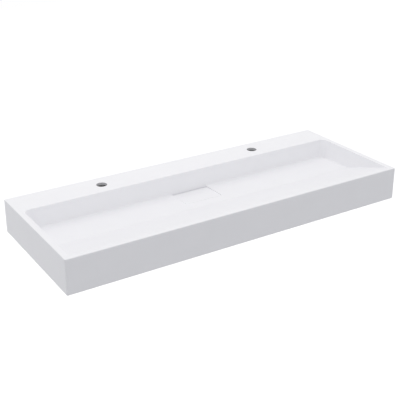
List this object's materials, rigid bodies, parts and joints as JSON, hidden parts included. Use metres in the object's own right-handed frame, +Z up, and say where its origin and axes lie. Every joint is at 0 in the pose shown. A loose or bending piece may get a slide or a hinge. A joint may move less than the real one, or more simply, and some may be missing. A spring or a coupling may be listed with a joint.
{
  "type": "washbasin",
  "caption": "Long low wall-hung washbasin with a ramped bowl, a rear tap deck with tap holes, and a lift-off cover over a slot drain and waste.",
  "frame": {"origin": "on the wall face, midway between the two wall bolts", "axes": "+X along the wall to the right as seen from the front, +Y into the wall, +Z up"},
  "size_m": [1.2, 0.46, 0.16],
  "materials": {
    "cast_resin": "satin",
    "silicone": "matte",
    "chromed_brass": "polished",
    "stainless_steel": "satin",
    "black_rubber": "matte",
    "nylon": "matte",
    "bare_brass": "satin"
  },
  "bodies": {
    "basin": {"basin_body": "cast_resin", "waste_body": "chromed_brass", "strainer_grid": "stainless_steel", "strainer_screw": "stainless_steel", "flange_seal": "black_rubber", "lower_seal": "black_rubber", "slip_washer": "nylon", "back_nut": "bare_brass"},
    "cover": {"waste_cover": "cast_resin", "cover_feet": "silicone"}
  },
  "joints": [
    {"name": "cover_lift", "type": "slide", "parent": "basin", "child": "cover", "axis": [0, 0, 1], "range_m": [0, 0.1]}
  ]
}
